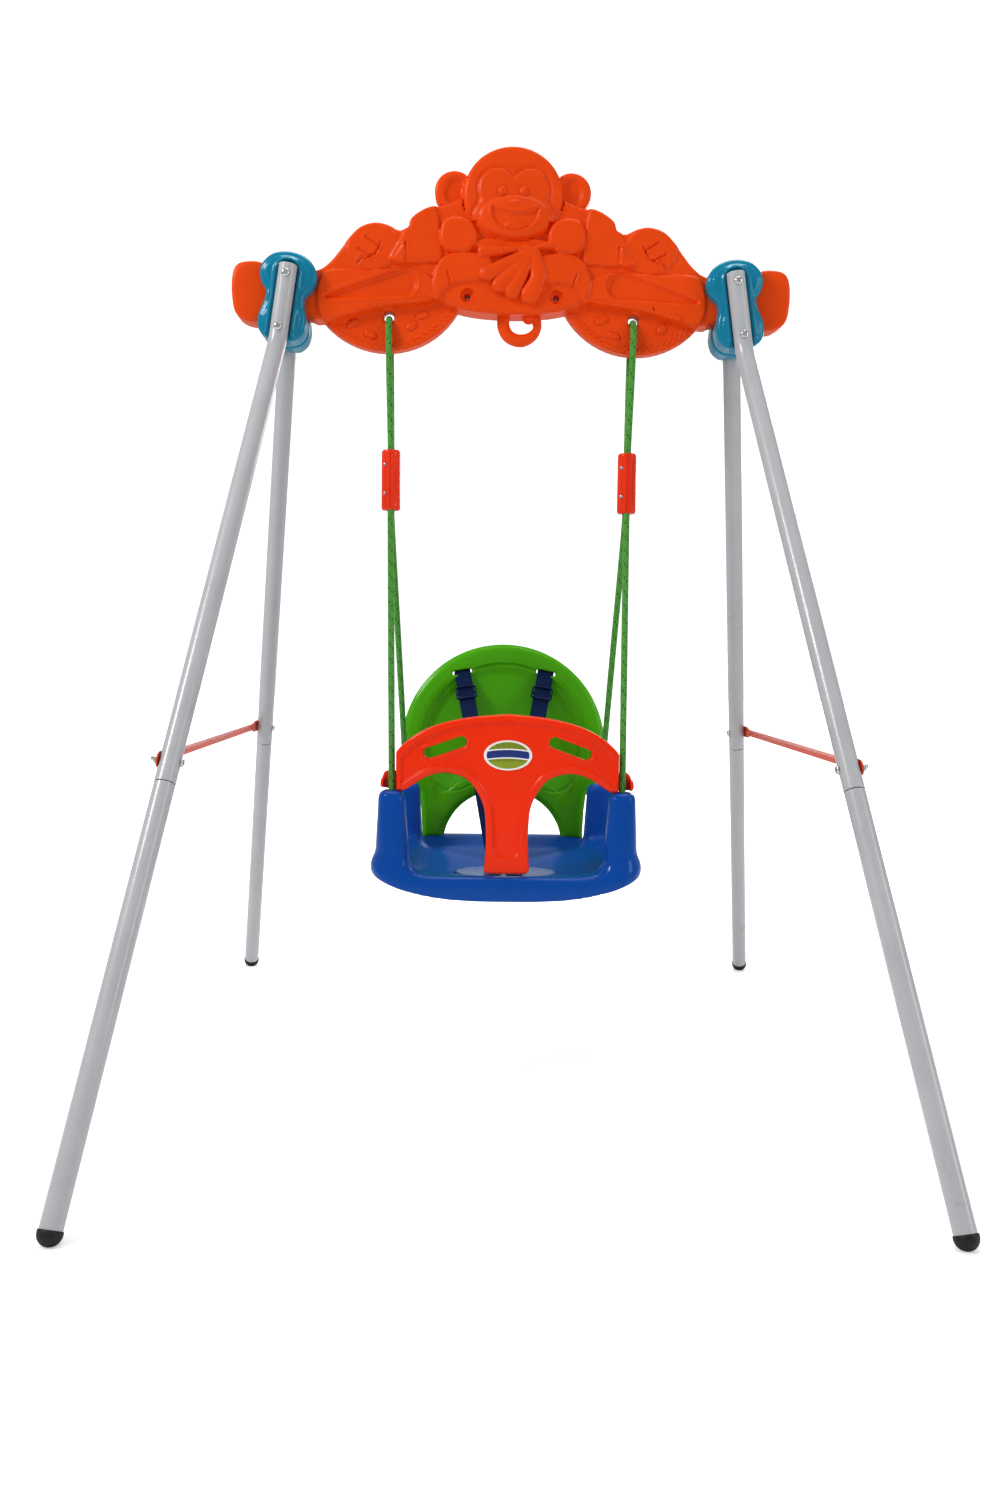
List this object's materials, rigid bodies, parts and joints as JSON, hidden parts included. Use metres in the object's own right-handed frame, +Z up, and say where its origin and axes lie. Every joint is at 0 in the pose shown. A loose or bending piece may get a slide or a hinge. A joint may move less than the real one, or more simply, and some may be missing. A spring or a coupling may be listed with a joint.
{
  "type": "toddler swing set",
  "caption": "A-frame swing set for a toddler: tube legs in clamshell brackets, a moulded animal beam and a bucket seat on adjustable ropes with a lifting guard bar and straps.",
  "frame": {"origin": "on the floor at the centre of the rectangle of the four feet", "axes": "+Z up, +X along the beam to the right as seen from the front, -Y to the front, where the child gets in"},
  "size_m": [0.9654, 1.1572, 1.3],
  "materials": {
    "beam_plastic": "orange blow-moulded plastic, semi-gloss with a fine grain",
    "bracket_plastic": "glossy teal-blue moulding",
    "leg_paint": "light grey powder coat, smooth",
    "brace_paint": "orange-red powder coat",
    "cap_rubber": "black, satin",
    "hardware": "bright zinc plate",
    "rope": "braided green rope",
    "adjuster_plastic": "orange-red moulding",
    "seat_plastic": "royal blue blow-moulded plastic, glossy",
    "back_plastic": "lime green blow-moulded plastic, glossy",
    "bar_plastic": "red-orange blow-moulded plastic, glossy",
    "badge": "printed vinyl oval with a pale border",
    "webbing": "navy woven webbing",
    "slider_plastic": "navy moulded three-bar slider"
  },
  "bodies": {
    "frame": {"beam": "beam_plastic", "brace_left": "brace_paint", "bracket_left_front": "bracket_plastic", "upper_leg_left_front": "leg_paint", "lower_leg_left_front": "leg_paint", "foot_cap_left_front": "cap_rubber", "brace_bolt_left_front": "hardware", "brace_nut_left_front": "hardware", "bracket_left_rear": "bracket_plastic", "upper_leg_left_rear": "leg_paint", "lower_leg_left_rear": "leg_paint", "foot_cap_left_rear": "cap_rubber", "brace_bolt_left_rear": "hardware", "brace_nut_left_rear": "hardware", "bracket_bolt_left_upper": "hardware", "bracket_nut_left_upper": "hardware", "bracket_bolt_left_lower": "hardware", "bracket_nut_left_lower": "hardware", "rope_loop_left": "rope", "brace_right": "brace_paint", "bracket_right_front": "bracket_plastic", "upper_leg_right_front": "leg_paint", "lower_leg_right_front": "leg_paint", "foot_cap_right_front": "cap_rubber", "brace_bolt_right_front": "hardware", "brace_nut_right_front": "hardware", "bracket_right_rear": "bracket_plastic", "upper_leg_right_rear": "leg_paint", "lower_leg_right_rear": "leg_paint", "foot_cap_right_rear": "cap_rubber", "brace_bolt_right_rear": "hardware", "brace_nut_right_rear": "hardware", "bracket_bolt_right_upper": "hardware", "bracket_nut_right_upper": "hardware", "bracket_bolt_right_lower": "hardware", "bracket_nut_right_lower": "hardware", "rope_loop_right": "rope"},
    "swing": {"rope_front_left": "rope", "rope_knot_left_front": "rope", "rope_rear_left": "rope", "rope_knot_left_rear": "rope", "adjuster_left_inner": "adjuster_plastic", "adjuster_left_outer": "adjuster_plastic", "shoulder_strap_left": "webbing", "rope_front_right": "rope", "rope_knot_right_front": "rope", "rope_rear_right": "rope", "rope_knot_right_rear": "rope", "adjuster_right_inner": "adjuster_plastic", "adjuster_right_outer": "adjuster_plastic", "shoulder_strap_right": "webbing", "harness_anchor": "webbing", "seat_pan": "seat_plastic", "backrest": "back_plastic"},
    "guard_bar": {"guard_bar": "bar_plastic", "bar_badge": "badge"},
    "slider_left": {"strap_slider_left": "slider_plastic"},
    "slider_right": {"strap_slider_right": "slider_plastic"}
  },
  "joints": [
    {"name": "swing", "type": "hinge", "parent": "frame", "child": "swing", "pos_m": [0, 0, 1.006], "axis": [1, 0, 0], "range_deg": [-32, 32]},
    {"name": "guard_bar_slide", "type": "slide", "parent": "swing", "child": "guard_bar", "axis": [0, 0.333, 0.9429], "range_m": [0, 0.12]},
    {"name": "slider_left_slide", "type": "slide", "parent": "swing", "child": "slider_left", "axis": [-0.1681, 0.4492, 0.8775], "range_m": [-0.12, 0.015]},
    {"name": "slider_right_slide", "type": "slide", "parent": "swing", "child": "slider_right", "axis": [0.1681, 0.4492, 0.8775], "range_m": [-0.12, 0.015]}
  ]
}
